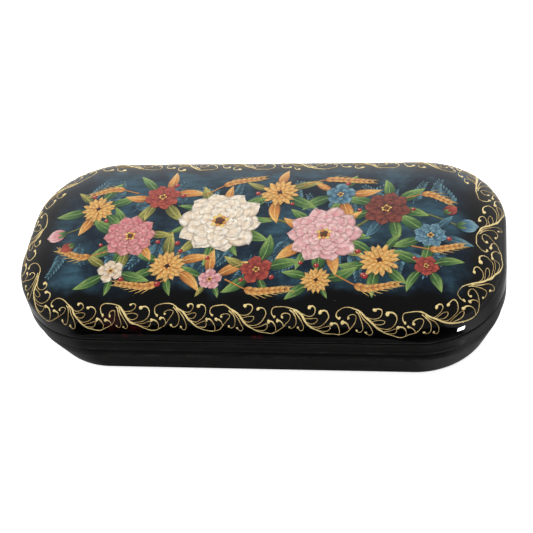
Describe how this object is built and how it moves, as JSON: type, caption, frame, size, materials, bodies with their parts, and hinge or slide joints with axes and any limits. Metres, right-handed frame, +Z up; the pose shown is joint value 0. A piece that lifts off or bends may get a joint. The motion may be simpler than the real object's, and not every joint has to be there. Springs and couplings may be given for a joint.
{
  "type": "eyeglass case",
  "caption": "Long rounded eyeglass case with a domed lacquered lid, hinged along its back, closing over a lip on a tapered base with a soft lining.",
  "frame": {"origin": "centre of the flat foot that the case stands on", "axes": "+X along the case, +Y towards the hinge side, +Z up through the lid"},
  "size_m": [0.165, 0.0764, 0.0367],
  "materials": {
    "lacquer_gloss": "pressed papier-mache under polished black lacquer with painted decoration",
    "lacquer_satin": "wound papier-mache under satin black lacquer with fine level streaks",
    "lacquer_red": "papier-mache under red lacquer",
    "velvet": "red velvet",
    "brass": "lightly tarnished brass",
    "steel": "drawn steel wire"
  },
  "bodies": {
    "base": {"base_tray": "lacquer_satin", "base_rim": "lacquer_satin", "inner_collar": "lacquer_red", "base_lining": "velvet", "floor_pad": "velvet", "left_hinge_base_leaf": "brass", "left_hinge_pin": "steel", "left_hinge_base_nail_1": "brass", "left_hinge_base_nail_2": "brass", "right_hinge_base_leaf": "brass", "right_hinge_pin": "steel", "right_hinge_base_nail_1": "brass", "right_hinge_base_nail_2": "brass"},
    "lid": {"lid_shell": "lacquer_gloss", "lid_lining": "velvet", "left_hinge_lid_leaf": "brass", "left_hinge_lid_nail_1": "brass", "left_hinge_lid_nail_2": "brass", "right_hinge_lid_leaf": "brass", "right_hinge_lid_nail_1": "brass", "right_hinge_lid_nail_2": "brass"}
  },
  "joints": [
    {"name": "lid_hinge", "type": "hinge", "parent": "base", "child": "lid", "pos_m": [0, 0.03706, 0.02125], "axis": [-1, 0, 0], "range_deg": [0, 100]}
  ]
}
